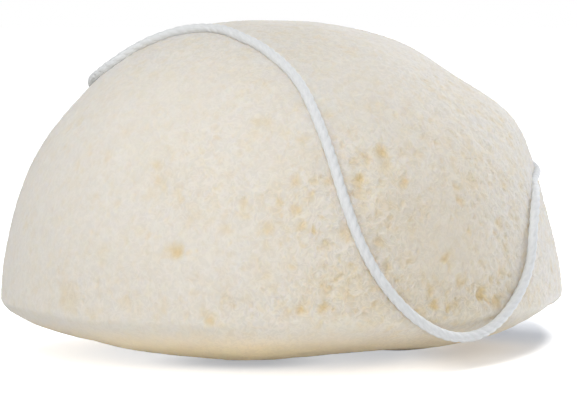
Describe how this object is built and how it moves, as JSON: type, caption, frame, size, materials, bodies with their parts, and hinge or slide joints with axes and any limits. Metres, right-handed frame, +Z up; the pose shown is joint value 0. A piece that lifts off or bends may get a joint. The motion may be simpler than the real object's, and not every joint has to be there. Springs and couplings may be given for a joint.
{
  "type": "konjac sponge",
  "caption": "Half-ball konjac facial sponge with a knotted cotton string whose loop lies over the dome and lifts for hanging.",
  "frame": {"origin": "centre of the flat patch that the sponge stands on, at the height of the surface", "axes": "+Z up through the top of the dome, -Y towards the front where the string crosses the dome, +X to the right seen from the front"},
  "size_m": [0.08, 0.0807, 0.048],
  "materials": {
    "konjac_foam": "matte",
    "cotton_string": "matte"
  },
  "bodies": {
    "sponge": {"sponge_body": "konjac_foam", "threaded_strand_left": "cotton_string", "threaded_strand_right": "cotton_string", "stopper_knot": "cotton_string"},
    "loop": {"hanging_loop": "cotton_string"}
  },
  "joints": [
    {"name": "loop_lift", "type": "hinge", "parent": "sponge", "child": "loop", "pos_m": [0, 0.03979, 0.02016], "axis": [-1, 0, 0], "range_deg": [0, 135]}
  ]
}
